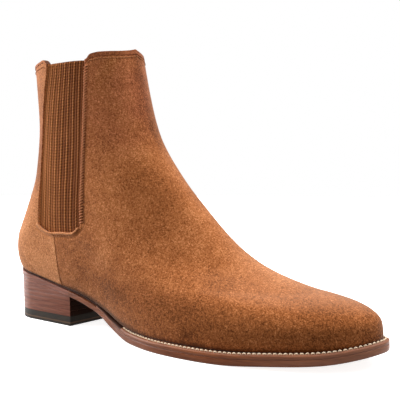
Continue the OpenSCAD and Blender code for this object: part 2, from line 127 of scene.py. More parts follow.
def outer_skin(node):
    """The outer face of a shell: the largest patch of triangles with no sharp edge in it."""
    co, tri = welded(node)
    cross = np.cross(co[tri[:, 1]] - co[tri[:, 0]], co[tri[:, 2]] - co[tri[:, 0]])
    size = np.linalg.norm(cross, axis=1)
    normal = cross / size[:, None]
    near = [[] for _ in tri]
    for ts in edge_owners(tri).values():
        if len(ts) == 2 and normal[ts[0]] @ normal[ts[1]] > 0.5:
            near[ts[0]].append(ts[1])
            near[ts[1]].append(ts[0])
    patch = np.full(len(tri), -1)
    for start in range(len(tri)):
        if patch[start] < 0:
            patch[start] = start
            stack = [start]
            while stack:
                for other in near[stack.pop()]:
                    if patch[other] < 0:
                        patch[other] = start
                        stack.append(other)
    names = np.unique(patch)
    areas = [size[patch == name].sum() for name in names]
    return co, tri[patch == names[int(np.argmax(areas))]]


def lattice(node):
    """Column, row and place of each point of a shell's outer face. Rows count up from its foot."""
    co, tri = outer_skin(node)
    owners = edge_owners(tri)
    label = {}
    for corner, at in zip(tri[0], ((0, 0), (1, 0), (1, 1))):
        label[int(corner)] = np.array(at)
    seen, stack = {0}, [0]
    while stack:
        t = stack.pop()
        for k in range(3):
            p, q, r = (int(tri[t][(k + s) % 3]) for s in range(3))
            for t2 in owners[(min(p, q), max(p, q))]:
                if t2 not in seen:
                    seen.add(t2)
                    stack.append(t2)
                    new = next(int(c) for c in tri[t2] if c not in (p, q))
                    label.setdefault(new, label[p] + label[q] - label[r])
    kinds = [np.array(d) for d in ((1, 0), (0, 1), (1, 1))]
    on_rim, rise, steps = [0, 0, 0], [0.0, 0.0, 0.0], [0, 0, 0]
    for (p, q), ts in owners.items():
        d = label[q] - label[p]
        for n, kind in enumerate(kinds):
            if abs(d[0] * kind[1] - d[1] * kind[0]) == 0:
                on_rim[n] += len(ts) == 1
                rise[n] += unit(co[q] - co[p])[2] * (d @ kind > 0 or -1)
                steps[n] += 1
    slant = int(np.argmin(on_rim))
    a, b = (n for n in range(3) if n != slant)
    if abs(rise[a] / steps[a]) > abs(rise[b] / steps[b]):
        a, b = b, a
    up = kinds[b] * (1 if rise[b] > 0 else -1)
    along = kinds[a]
    if abs((along + up) @ np.array([kinds[slant][1], -kinds[slant][0]])) > 0:
        along = -along
    turn = np.linalg.inv(np.array([along, up]).T)
    names = sorted(label)
    cells = np.round(np.array([turn @ label[n] for n in names])).astype(int)
    cells[:, 0] -= (cells[:, 0].max() + cells[:, 0].min()) // 2
    cells[:, 1] -= cells[:, 1].min()
    return cells, co[names]


def read_grid():
    """One grid over the whole upper, from the panels' outer faces and, over the gores, from theirs.
    Then the columns of the gore's front edge, the side seam, the gore's rear edge and the heel's
    middle, and the rows of the gore's foot and the topline."""
    front, front_co = lattice("front_panel")
    heel, heel_co = lattice("heel_quarter")
    strip, strip_co = lattice("back_strip")
    top = front[:, 1].max()
    seam = front[:, 0].max()
    edge = front[front[:, 1] == top][:, 0].max()
    foot = front[front[:, 0] == seam][:, 1].max()
    half = seam + heel[:, 0].max()
    rear = half - strip[:, 0].max()
    quarter = heel[:, 1].max()
    heel[:, 0] += half
    strip += [half, top - strip[:, 1].max()]
    grid = np.full((top + 1, 2 * half, 3), np.nan)
    for cells, co in ((front, front_co), (heel, heel_co), (strip, strip_co)):
        grid[cells[:, 1], cells[:, 0] % (2 * half)] = co
    middle = (edge + rear) // 2
    for node, centre in (("gore_lateral", middle), ("gore_medial", 2 * half - middle)):
        cells, co = lattice(node)
        cells += [centre, top - cells[:, 1].max()]
        patch = np.full(grid.shape, np.nan)
        patch[cells[:, 1], cells[:, 0]] = co
        lift = grid - patch
        depth = np.nanmedian(np.linalg.norm(lift, axis=2))
        normal = unit(np.cross(np.gradient(patch, axis=1), np.gradient(patch, axis=0)))
        if np.nanmean((normal * lift).sum(axis=2)) < 0:
            normal = -normal
        for j in range(foot + 1, top + 1):
            for i in range(centre - middle + edge + 1, centre - middle + rear):
                n = normal[j, i]
                if np.isnan(n).any():
                    n = normal[j - 1, i]
                grid[j, i] = patch[j, i] + n * depth
    grid = np.delete(grid, quarter + 1, axis=0)
    return grid, (edge, seam, rear, half, foot, top - 1)


class Skin:
    """A smooth surface through the grid, at fractional columns u, which close round, and rows v.
    Column 0 is the front, and columns count round the outer side to the heel."""

    def __init__(self, grid):
        self.grid = grid
        self.rows, self.cols = grid.shape[:2]
        self.hu = np.linalg.norm(np.roll(grid, -1, 1) - grid, axis=2).mean(axis=0)
        self.hv = np.linalg.norm(np.diff(grid, axis=0), axis=2).mean(axis=1)
        self.du = self.slope_u(grid)
        self.dv = self.slope_v(grid)
        self.duv = self.slope_u(self.dv)
        self.side = 1
        p, n = self.point(np.array([0.0, self.cols / 2]), np.array([4.0, 4.0]), normals=True)
        if (n[0] - n[1]) @ (p[0] - p[1]) < 0:
            self.side = -1

    def slope_u(self, g):
        h1 = self.hu[None, :, None]
        h0 = np.roll(h1, 1, 1)
        m1 = (np.roll(g, -1, 1) - g) / h1
        return (np.roll(m1, 1, 1) * h1 + m1 * h0) / (h0 + h1)

    def slope_v(self, g):
        h = self.hv[:, None, None]
        m = np.diff(g, axis=0) / h
        inner = (m[:-1] * h[1:] + m[1:] * h[:-1]) / (h[:-1] + h[1:])
        return np.concatenate([2 * m[:1] - inner[:1], inner, 2 * m[-1:] - inner[-1:]])

    def point(self, u, v, normals=False):
        """Points of the surface and, if asked for, its outward normals there."""
        u, v = np.broadcast_arrays(np.asarray(u, float) % self.cols, np.asarray(v, float))
        i = np.floor(u).astype(int) % self.cols
        j = np.clip(np.floor(v).astype(int), 0, self.rows - 2)
        f, g = u - np.floor(u), v - j
        i2 = (i + 1) % self.cols
        hu, hv = self.hu[i], self.hv[j]

        def basis(w, h):
            value = ((1 + 2 * w) * (1 - w) ** 2, w * w * (3 - 2 * w),
                     h * w * (1 - w) ** 2, -h * w * w * (1 - w))
            rate = (6 * w * w - 6 * w, 6 * w - 6 * w * w,
                    h * (1 - 4 * w + 3 * w * w), h * (3 * w * w - 2 * w))
            return value, [r / h for r in rate]

        (a, da), (b, db) = basis(f, hu), basis(g, hv)
        corners = []
        for c, tables in enumerate(((self.grid, self.dv), (self.du, self.duv))):
            for r, table in enumerate(tables):
                for ii, x in ((i, 0), (i2, 1)):
                    for jj, y in ((j, 0), (j + 1, 1)):
                        corners.append((table[jj, ii], x + 2 * c, y + 2 * r))
        p = sum(q * (a[x] * b[y])[..., None] for q, x, y in corners)
        if not normals:
            return p
        pu = sum(q * (da[x] * b[y])[..., None] for q, x, y in corners)
        pv = sum(q * (a[x] * db[y])[..., None] for q, x, y in corners)
        n = np.cross(pu, pv) * self.side
        return p, n / np.maximum(np.linalg.norm(n, axis=-1, keepdims=True), 1e-12)


GRID, (EDGE, SEAM, REAR, HALF, FOOT, TOP) = read_grid()
COLS = 2 * HALF
skin = Skin(GRID)


# ---------------------------------------------------------------- meshes

RIM_REACH = 12 * MM     # distances to a panel's rim are capped here
EDGE_WEAR_AND_HIGHLIGHT = 1.1 * MM    # how far in from the rim the rubbed edge and its painted highlight fade


def make(name, verts, faces, facing=None):
    """A smooth mesh object. facing is the first face's outward normal, if its winding is in doubt."""
    verts = np.asarray(verts, float)
    faces = [list(map(int, f)) for f in faces]
    if facing is not None:
        a, b, c = (verts[k] for k in faces[0][:3])
        if np.cross(b - a, c - a) @ facing < 0:
            faces = [f[::-1] for f in faces]
    mesh = bpy.data.meshes.new(name)
    mesh.from_pydata(verts.tolist(), [], faces)
    mesh.update()
    mesh.shade_smooth()
    at = mesh.attributes.new("at", "FLOAT_VECTOR", "POINT")
    at.data.foreach_set("vector", verts.astype(np.float32).ravel())
    obj = bpy.data.objects.new(name, mesh)
    bpy.context.scene.collection.objects.link(obj)
    return obj


def paint(obj, name, values):
    """Sets a named value on each point, which the materials read. Where none is set they read 0."""
    layer = obj.data.attributes.new(name, "FLOAT", "POINT")
    layer.data.foreach_set("value", np.asarray(values, np.float32))


def faced_out(obj):
    """The same object with its faces turned outward."""
    bm = bmesh.new()
    bm.from_mesh(obj.data)
    bmesh.ops.recalc_face_normals(bm, faces=bm.faces)
    bm.to_mesh(obj.data)
    bm.free()
    return obj


def bands(rings, sides, base=0):
    """Faces between neighbouring rings of points, where each ring closes round its sides."""
    return [[base + k * sides + s, base + k * sides + (s + 1) % sides,
             base + (k + 1) * sides + (s + 1) % sides, base + (k + 1) * sides + s]
            for k in range(rings - 1) for s in range(sides)]


def lines(marks, sub, near=(0.04, 0.1, 0.2), closest=0.02):
    """Parameter lines from the first mark to the last, evenly cut, and closer beside each mark."""
    count = int((marks[-1] - marks[0]) * sub) + 1
    found = set(round(float(x), 5) for x in np.linspace(marks[0], marks[-1], count))
    for m in marks:
        for d in (0,) + near:
            for x in (m - d, m + d):
                if marks[0] <= x <= marks[-1]:
                    found.add(round(float(x), 5))
    found = sorted(found)
    keep = [found[0]]
    for x in found[1:]:
        if x - keep[-1] < closest:
            if any(abs(x - m) < 1e-6 for m in marks):
                keep[-1] = x
        else:
            keep.append(x)
    return np.array(keep)


def nearest(points, line, reach):
    """Distance from each point to a dense line of points, capped at reach."""
    tree = KDTree(len(line))
    for n, p in enumerate(line):
        tree.insert(p, n)
    tree.balance()
    return np.array([min(tree.find(p)[2], reach) for p in points])


def shell(name, us, vs, inside, depth, thick, roll, relief=None):
    """A closed shell of the skin over the cells that inside(u, v) picks, with its outer edges rolled
    in. Returns the object and its points' u and v."""
    U, V = np.meshgrid(us, vs)
    um, vm = np.meshgrid((us[:-1] + us[1:]) / 2, (vs[:-1] + vs[1:]) / 2)
    cell = inside(um, vm)
    P, N = skin.point(U, V, normals=True)
    nv, nu = U.shape
    padded = np.zeros((nv + 1, nu + 1), bool)
    padded[1:-1, 1:-1] = cell
    around = np.stack([padded[:-1, :-1], padded[:-1, 1:], padded[1:, :-1], padded[1:, 1:]])
    used = around.any(axis=0)
    number = np.full((nv, nu), -1)
    number[used] = np.arange(used.sum())
    count = int(used.sum())
    p, n, u, v = P[used], N[used], U[used], V[used]
    js, is_ = np.nonzero(cell)
    quads = np.stack([number[js, is_], number[js, is_ + 1], number[js + 1, is_ + 1],
                      number[js + 1, is_]], axis=1)
    rim = []
    for j, i, (a, b, c, d) in zip(js, is_, quads):
        for (q, r), (jj, ii) in (((a, b), (j, i + 1)), ((b, c), (j + 1, i + 2)),
                                 ((c, d), (j + 2, i + 1)), ((d, a), (j + 1, i))):
            if not padded[jj, ii]:
                rim.append((q, r))
    rim_points = []
    for q, r in rim:
        for s in (0, 0.25, 0.5, 0.75):
            rim_points.append(p[q] * (1 - s) + p[r] * s)
    rim_d = nearest(p, rim_points, RIM_REACH)
    top = depth + roll * (1 - np.sqrt(np.clip(1 - np.clip(1 - rim_d / roll, 0, 1) ** 2, 0, 1)))
    if relief is not None:
        top += relief(p, u, v)
    outer = p - n * top[:, None]
    inner = p - n * (depth + thick)
    faces = quads.tolist() + (quads[:, ::-1] + count).tolist()
    for q, r in rim:
        faces.append([r, q, q + count, r + count])
    obj = make(name, np.concatenate([outer, inner]), faces, facing=n[quads[0][0]])
    # Rims: rubbed wear and painted highlight, fading in from the panel's edge
    paint(obj, "edge", np.exp(-np.concatenate([rim_d, np.full(count, RIM_REACH)]) / EDGE_WEAR_AND_HIGHLIGHT))
    return obj, np.concatenate([u, u]), np.concatenate([v, v])


def tube(name, path, normals, wide, tall, sides):
    """A closed tube of oval section. wide and tall are half sizes, across and along the normals."""
    n = len(path)
    t = unit(np.gradient(path, axis=0))
    up = unit(normals - t * (normals * t).sum(axis=1, keepdims=True))
    across = np.cross(t, up)
    a = 2 * np.pi * np.arange(sides) / sides
    ring = (path[:, None] + across[:, None] * (np.cos(a)[None, :, None] * wide[:, None, None])
            + up[:, None] * (np.sin(a)[None, :, None] * tall[:, None, None]))
    verts = np.concatenate([ring.reshape(-1, 3), path[:1], path[-1:]])
    faces = bands(n, sides)
    for s in range(sides):
        b = (s + 1) % sides
        faces.append([n * sides, b, s])
        faces.append([n * sides + 1, (n - 1) * sides + s, (n - 1) * sides + b])
    outward = (ring[0, 0] + ring[0, 1]) / 2 - path[0]
    return make(name, verts, faces, facing=outward)


def joined(name, parts):
    """One object out of several meshes."""
    verts, faces, count = [], [], 0
    for part in parts:
        co = np.array([v.co for v in part.data.vertices])
        verts.append(co)
        faces += [[i + count for i in f.vertices] for f in part.data.polygons]
        count += len(co)
        bpy.data.objects.remove(part)
    return make(name, np.concatenate(verts), faces)


def threads(name, middles, ahead, normals, lift, length, width, height, arch=0.5):
    """A row of short thread stitches, each along the way from its middle to the point ahead of it, with
    sizes in millimetres. arch is how much of its height its ends sink."""
    lift, length, width, height = (size * MM for size in (lift, length, width, height))
    ts = np.array([-0.5, -0.42, -0.22, 0, 0.22, 0.42, 0.5])
    fat = np.array([0.25, 0.72, 0.95, 1, 0.95, 0.72, 0.25])
    sides = 6
    ang = 2 * np.pi * (np.arange(sides) + 0.5) / sides
    verts, faces = [], []
    for c, d, n in zip(middles + normals * lift, unit(ahead - middles), normals):
        n = unit(n - d * (n @ d))
        s = np.cross(d, n)
        base = len(verts)
        sink = height * arch * (np.abs(ts) * 2) ** 2.5
        for t, f, z in zip(ts, fat, sink):
            at = c + d * (t * length) + n * (height * 0.45 - z)
            verts += [at + s * (math.cos(a) * width / 2 * f) + n * (math.sin(a) * height / 2 * f)
                      for a in ang]
        faces += bands(len(ts), sides, base)
        faces.append([base + q for q in range(sides)][::-1])
        faces.append([base + (len(ts) - 1) * sides + q for q in range(sides)])
    return faced_out(make(name, verts, faces))


def spaced(path, pitch):
    """Places along a dense path, as fractions of its points, at an even pitch."""
    run = run_along(path)
    count = int(run[-1] / pitch)
    return np.interp((np.arange(count) + 0.5) * run[-1] / count, run, np.linspace(0, 1, len(path)))


def eased(points, times):
    """A path with its corners rounded and its ends kept."""
    points = points.copy()
    for _ in range(times):
        points[1:-1] = (points[:-2] + 2 * points[1:-1] + points[2:]) / 4
    return points


def finish_piece(obj, material, slot, *stands_for, body="boot_body", bend=None):
    """Gives a piece its material and hides the CAD nodes that it stands for, then parents it to a body
    to ride on or, if bend is given, bakes its transform in place instead. slot is not used."""
    obj.data.materials.append(material)
    if bend:
        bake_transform(obj)
    else:
        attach(obj, body)
    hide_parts(*stands_for)


# ---------------------------------------------------------------- materials

class Nodes:
    """Makes and links the nodes of one tree."""

    def __init__(self, tree):
        self.tree = tree

    def node(self, kind, inputs, **props):
        node = self.tree.nodes.new("ShaderNode" + kind)
        for key, value in props.items():
            setattr(node, key, value)
        for key, value in inputs.items():
            self.feed(node.inputs[key], value)
        return node

    def feed(self, socket, value):
        if isinstance(value, bpy.types.NodeSocket):
            self.tree.links.new(value, socket)
        else:
            socket.default_value = value

    def span(self, value, low, high, to_low=0.0, to_high=1.0):
        return self.node("MapRange", {"Value": value, "From Min": low, "From Max": high,
                                      "To Min": to_low, "To Max": to_high}).outputs[0]


class Material(Nodes):
    """A Principled material over the pieces' own rest positions."""

    def __init__(self, name, **constants):
        self.material = bpy.data.materials.new(name)
        self.material.use_nodes = True
        super().__init__(self.material.node_tree)
        self.bsdf = self.tree.nodes["Principled BSDF"]
        for key, value in constants.items():
            self.bsdf.inputs[key.replace("_", " ")].default_value = value
        self.at = self.attribute("at").outputs["Vector"]

    def attribute(self, name):
        return self.node("Attribute", {}, attribute_name=name)

    def fac(self, name):
        return self.attribute(name).outputs["Fac"]

    def noise(self, scale, detail=3.0, rough=0.55, warp=0.0, where=None):
        return self.node("TexNoise", {"Vector": where or self.at, "Scale": scale, "Detail": detail,
                                      "Roughness": rough, "Distortion": warp}).outputs["Fac"]

    def stretch(self, x, y, z):
        return self.node("Mapping", {"Vector": self.at, "Scale": (x, y, z)}).outputs["Vector"]

    def axes(self):
        return self.node("SeparateXYZ", {0: self.at}).outputs

    def math(self, op, a, b=0.0, c=0.0):
        return self.node("Math", {0: a, 1: b, 2: c}, operation=op).outputs[0]

    def times(self, a, b):
        return self.math("MULTIPLY", a, b)

    def scaled(self, value, by, plus):
        return self.math("MULTIPLY_ADD", value, by, plus)

    def wave(self, kind, value, rate):
        """A wave between 0 and 1."""
        return self.scaled(self.math(kind, self.times(value, rate)), 0.5, 0.5)

    def mix(self, fac, a, b, blend="MIX"):
        node = self.tree.nodes.new("ShaderNodeMix")
        node.data_type = "RGBA"
        node.blend_type = blend
        node.clamp_factor = True
        self.feed(node.inputs[0], fac)
        self.feed(node.inputs[6], a)
        self.feed(node.inputs[7], b)
        return node.outputs[2]

    def bump(self, height, distance, strength=1.0, under=None):
        inputs = {"Height": height, "Distance": distance, "Strength": strength}
        if under is not None:
            inputs["Normal"] = under
        return self.node("Bump", inputs).outputs["Normal"]

    def done(self, colour, rough=None, normal=None):
        self.feed(self.bsdf.inputs["Base Color"], colour)
        if rough is not None:
            self.feed(self.bsdf.inputs["Roughness"], rough)
        if normal is not None:
            self.feed(self.bsdf.inputs["Normal"], normal)
        return self.material


def rgb(r, g, b):
    """A linear colour from its 0 to 255 display values."""
    def linear(c):
        c /= 255
        return c / 12.92 if c <= 0.04045 else ((c + 0.055) / 1.055) ** 2.4
    return (linear(r), linear(g), linear(b), 1.0)


def suede(name, deep, middle, light, nap=1.0):
    """Brushed suede: fine speckled nap over soft patches, paler where the pile is rubbed and a
    highlight is painted on the rims, with each piece's painted light and shade and a painted highlight
    on top of the toe.
    """
    m = Material(name, Specular_IOR_Level=0.05, Sheen_Weight=0.32, Sheen_Roughness=0.4,
                 Sheen_Tint=(1.0, 0.88, 0.76, 1.0))
    big = m.noise(24, 2.0, 0.5, 0.6)
    patch = m.noise(85, 3.0, 0.6, 1.2)
    fibre = m.noise(760, 2.0, 0.7, 0.5)
    speck = m.noise(1500, 2.0, 0.7)
    tone = 0.5
    for layer, amount in ((big, 0.12), (patch, 0.08 * nap), (fibre, 0.25 * nap), (speck, 0.3 * nap)):
        tone = m.scaled(m.span(layer, 0.3, 0.7, -1, 1), amount, tone)
    # Each piece's tone: painted light and shade, a darker side seam and a dark top on the bindings
    tone = m.math("ADD", tone, m.fac("tone"))
    # Paler rims: rubbed wear and painted highlight
    tone = m.scaled(m.fac("edge"), 0.12, tone)
    low = m.mix(m.span(tone, 0.0, 0.5), deep, middle)
    colour = m.mix(m.span(tone, 0.5, 1.0), low, light)
    # Rosier patches high on the shaft, and a painted highlight on the up-facing top of the toe
    high = m.span(m.axes()["Z"], 0.1, 0.15, 0.0, 0.45)
    rosy = m.times(high, m.span(m.noise(16, 2.0, 0.6, 0.8), 0.42, 0.66))
    colour = m.mix(rosy, colour, rgb(166, 92, 66), blend="COLOR")
    colour = m.mix(m.fac("painted_toe_highlight"), colour, rgb(206, 160, 128))
    height = m.scaled(fibre, 0.7, m.times(speck, 0.6))
    normal = m.bump(height, 0.0006, 0.6)
    normal = m.bump(patch, 0.0012, 0.18, normal)
    return m.done(colour, m.span(fibre, 0.2, 0.8, 0.98, 0.86), normal)


WEFT_PITCH = 2.1        # millimetres


def elastic(name):
    """Ribbed elastic: vertical ribs with a dotted weft showing between them. The attributes rib and run
    count ribs across it and millimetres up it."""
    m = Material(name, Specular_IOR_Level=0.06, Sheen_Weight=0.06, Sheen_Roughness=0.5,
                 Sheen_Tint=(1.0, 0.6, 0.36, 1.0))
    rib, run = m.fac("rib"), m.fac("run")
    ridge = m.wave("COSINE", rib, 2 * math.pi)
    proud = m.wave("COSINE", rib, math.pi)
    weft = m.wave("SINE", run, 2 * math.pi / WEFT_PITCH)
    dots = m.times(m.math("SUBTRACT", 1.0, ridge), weft)
    fuzz = m.noise(900, 3.0, 0.7)
    cloud = m.noise(60, 2.0, 0.5)
    # Pale rib crests are painted highlight and dark valleys painted shade; the weft stripes and dots
    # are the weave's own
    crest = m.mix(m.span(proud, 0.2, 0.95), rgb(146, 82, 40), rgb(230, 148, 86))
    colour = m.mix(m.span(ridge, 0.1, 0.9), rgb(112, 58, 26), crest)
    colour = m.mix(m.times(weft, 0.55), colour, rgb(92, 44, 18))
    colour = m.mix(m.times(dots, 0.8), colour, rgb(54, 24, 10))
    colour = m.mix(m.span(fuzz, 0.3, 0.7, 0.0, 0.35), colour, rgb(112, 62, 34))
    colour = m.mix(m.span(cloud, 0.35, 0.65, 0.0, 0.22), colour, rgb(168, 102, 58))
    # Painted shade behind its front edge, painted light towards its rear one
    colour = m.mix(m.span(rib, 2.0, 10.0, 0.35, 0.0), colour, rgb(78, 38, 16))
    colour = m.mix(m.span(rib, 8.0, 16.0, 0.0, 0.3), colour, rgb(206, 132, 78))
    height = m.scaled(dots, -0.8, m.times(fuzz, 0.5))
    return m.done(colour, m.span(fuzz, 0.3, 0.7, 0.8, 0.95), m.bump(height, 0.0005, 0.7))


GRAIN = 1400.0          # cells to the metre


def leather(name, dark, light, rough, bump=0.35, shine=0.3):
    """Smooth leather with a fine grain and uneven dye."""
    m = Material(name, Specular_IOR_Level=shine)
    cells = m.node("TexVoronoi", {"Vector": m.at, "Scale": GRAIN, "Randomness": 0.9},
                   feature="DISTANCE_TO_EDGE").outputs["Distance"]
    pores = m.noise(GRAIN * 1.3, 3.0, 0.6)
    cloud = m.noise(60, 4.0, 0.6, 0.5)
    colour = m.mix(m.span(cloud, 0.3, 0.7), dark, light)
    colour = m.mix(m.span(pores, 0.55, 0.75, 0.0, 0.35), colour, dark)
    height = m.scaled(m.span(cells, 0.0, 0.2), 0.6, m.times(pores, 0.4))
    return m.done(colour, m.span(cloud, 0.3, 0.7, rough[0], rough[1]), m.bump(height, 0.0002, bump))


def stacked(name, dark, middle, light, layers, pitch=3.1):
    """Burnished edges of leather layers: level lines at a pitch in millimetres, streaks and waxed
    patches, and a painted reflection that makes them paler towards the toe."""
    m = Material(name, Specular_IOR_Level=0.16, Coat_Weight=0.03, Coat_Roughness=0.3)
    streak = m.noise(1.0, 4.0, 0.65, where=m.stretch(90, 90, 1500))
    broad = m.noise(1.0, 3.0, 0.6, where=m.stretch(34, 34, 420))
    axes = m.axes()
    uneven = m.noise(1.0, 2.0, 0.5, where=m.stretch(30, 30, 60))
    wobble = m.scaled(uneven, 0.7 * MM, axes["Z"])
    wave = m.math("ABSOLUTE", m.math("SINE", m.times(wobble, math.pi / (pitch * MM))))
    joint = m.span(wave, 0.0, 0.34, layers, 0.0)
    colour = m.mix(m.span(streak, 0.3, 0.7), middle, light)
    colour = m.mix(m.span(broad, 0.35, 0.7, 0.0, 0.6), colour, dark)
    colour = m.mix(m.times(joint, 0.7), colour, dark)
    # Painted reflection: paler towards the toe
    colour = m.mix(m.span(axes["X"], 0.18, 0.25, 0.0, 0.3), colour, rgb(186, 136, 112))
    height = m.scaled(joint, -0.7, m.times(streak, 0.5))
    return m.done(colour, m.span(broad, 0.3, 0.7, 0.24, 0.5), m.bump(height, 0.00025, 0.6))


def rubber(name, line_z):
    """Moulded rubber with a fine matt grain and a paler line near its foot."""
    m = Material(name, Specular_IOR_Level=0.18)
    fine = m.noise(1900, 2.0, 0.6)
    scuff = m.noise(120, 4.0, 0.7, 0.8)
    away = m.math("ABSOLUTE", m.math("SUBTRACT", m.axes()["Z"], line_z))
    line = m.span(away, 0.3 * MM, 0.7 * MM, 1.0, 0.0)
    colour = m.mix(m.span(scuff, 0.4, 0.75), rgb(34, 28, 22), rgb(58, 49, 40))
    colour = m.mix(m.times(line, 0.8), colour, rgb(104, 78, 60))
    return m.done(colour, m.span(scuff, 0.3, 0.7, 0.5, 0.75), m.bump(fine, 0.0002, 0.4))


def metal(name, colour, dull):
    """Dull metal with fine scratches."""
    m = Material(name, Metallic=1.0)
    marks = m.noise(700, 4.0, 0.7)
    return m.done(m.mix(m.span(marks, 0.35, 0.7), colour, dull), m.span(marks, 0.3, 0.7, 0.35, 0.6),
                  m.bump(marks, 0.0001, 0.4))


def thread(name, light, dark):
    """Waxed thread: a fine twist along each stitch."""
    m = Material(name, Specular_IOR_Level=0.15)
    twist = m.noise(2600, 2.0, 0.6)
    soil = m.noise(180, 3.0, 0.6)
    colour = m.mix(m.span(twist, 0.35, 0.7), light, dark)
    colour = m.mix(m.span(soil, 0.45, 0.75, 0.0, 0.35), colour, dark)
    return m.done(colour, m.span(twist, 0.3, 0.7, 0.65, 0.85), m.bump(twist, 0.0002, 0.6))


def cork(name):
    """Pressed cork crumbs."""
    m = Material(name, Specular_IOR_Level=0.15)
    crumbs = m.node("TexVoronoi", {"Vector": m.at, "Scale": 420.0}).outputs["Color"]
    grey = m.node("SeparateColor", {0: crumbs}).outputs[0]
    return m.done(m.mix(grey, rgb(150, 105, 62), rgb(205, 165, 115)), m.span(grey, 0, 1, 0.8, 0.95),
                  m.bump(grey, 0.0004, 0.6))


def studio_floor(name):
    """White paper."""
    m = Material(name, Specular_IOR_Level=0.0, Roughness=1.0, Emission_Color=(1, 1, 1, 1),
                 Emission_Strength=0.85)
    grain = m.node("TexNoise", {"Scale": 3.0, "Detail": 2.0}).outputs["Fac"]
    return m.done(m.mix(grain, (0.7, 0.7, 0.7, 1), (0.75, 0.75, 0.75, 1)))


SUEDE = suede("suede", rgb(92, 47, 16), rgb(167, 98, 52), rgb(226, 153, 100))
# The same suede in lighter colours for the heel and the gore cords: painted light
SUEDE_HEEL_PAINTED_LIGHT = suede("suede_heel_painted_light", rgb(134, 76, 40), rgb(203, 131, 82), rgb(240, 178, 128))
BINDING = suede("suede_binding", rgb(88, 44, 18), rgb(172, 101, 60), rgb(222, 150, 102), nap=0.8)
ELASTIC = elastic("elastic")
LINING = leather("lining_leather", rgb(120, 84, 56), rgb(158, 116, 80), (0.6, 0.8))
INSOLE = leather("insole_leather", rgb(170, 128, 88), rgb(200, 160, 116), (0.6, 0.8))
SOLE_EDGE = stacked("sole_leather", rgb(68, 30, 15), rgb(116, 58, 30), rgb(150, 86, 48), 0.3, 2.1)
WELT = stacked("welt_leather", rgb(72, 32, 16), rgb(120, 62, 33), rgb(154, 90, 52), 0.2, 2.4)
WELT_TOP = leather("welt_top_leather", rgb(112, 66, 44), rgb(156, 100, 70), (0.4, 0.6), bump=0.25)
SOLE_FACE = leather("outsole_leather", rgb(150, 102, 66), rgb(186, 138, 96), (0.35, 0.6), bump=0.25)
HEEL_STACK = stacked("stacked_leather", rgb(78, 36, 24), rgb(126, 67, 48), rgb(156, 95, 72), 0.8)
# Near-black leather for the breast of the heel: dark dye together with painted shade
DARK = leather("dark_leather", rgb(24, 11, 7), rgb(48, 25, 16), (0.55, 0.75), shine=0.05)
# Near-black leather of the rand, which also stands as painted shade in the gap between the upper and
# the sole
RAND_AND_PAINTED_SHADE = leather("rand_leather_and_painted_shade", rgb(42, 21, 13), rgb(70, 38, 24), (0.5, 0.7), shine=0.1)
RUBBER = rubber("rubber", 0.0022)
BRASS = metal("brass_nails", rgb(196, 158, 92), rgb(120, 92, 52))
STEEL = metal("steel", rgb(170, 172, 176), rgb(110, 112, 116))
CORK = cork("cork")
STIFFENER = leather("stiffener", rgb(176, 140, 96), rgb(206, 172, 126), (0.75, 0.9))
CREAM = thread("cream_thread", rgb(255, 238, 214), rgb(226, 192, 156))
TONAL = thread("tonal_thread", rgb(226, 152, 104), rgb(176, 104, 66))
PALE_TONAL = thread("pale_tonal_thread", rgb(200, 138, 92), rgb(150, 94, 56))


# ---------------------------------------------------------------- upper

SUEDE_T, MIDDLE_T, LINING_T, GAP = 1.5 * MM, 1.2 * MM, 1.0 * MM, 0.1 * MM
GORE_DEPTH = SUEDE_T + GAP
LINING_DEPTH = GORE_DEPTH + MIDDLE_T + GAP
hinge = next(j for j in frame["joints"] if j["name"] == "shaft_opening")["pos_m"]
# Stretches where the back panel would bend, from below the hinge to above it, and a gore, from its
# front edge to its rear one; finish_piece only bakes the transform of a piece given one
BACK_BEND = ((hinge[0], 0, hinge[2] - 0.018), (hinge[0], 0, hinge[2] + 0.026))
GORE_BEND = ((0.0470, 0, 0.14), (0.0060, 0, 0.14))


def on_side(side, us):
    """Columns counted round the outer side (-1), or as many round the inner side (1)."""
    return us if side < 0 else COLS - us


def ripple(p, size, height, seed, waves=7):
    """Gentle unevenness of hand-lasted leather."""
    total = np.zeros(len(p))
    r = np.random.default_rng(seed)
    for _ in range(waves):
        d = unit(r.normal(size=3))
        total += np.sin(p @ d * 2 * np.pi / (size * r.uniform(0.7, 1.6)) + r.uniform(0, 6.28))
    return total / waves * height


foot_u = np.linspace(EDGE, REAR, 160)
foot_points = np.concatenate([skin.point(on_side(side, foot_u), FOOT) for side in (-1, 1)])


def upper_relief(seed):
    """How far a panel sinks: its unevenness, and a groove and a swell along the foot of each gore."""
    def relief(p, u, v):
        d = nearest(p, foot_points, RIM_REACH)
        along = 0.45 * MM * hump(d, 3.1 * MM, 0.8 * MM) - 0.25 * MM * hump(d, 1.2 * MM, 1.0 * MM)
        return ripple(p, 0.05, 0.35 * MM, seed) + along * (v < FOOT + 0.01)
    return relief


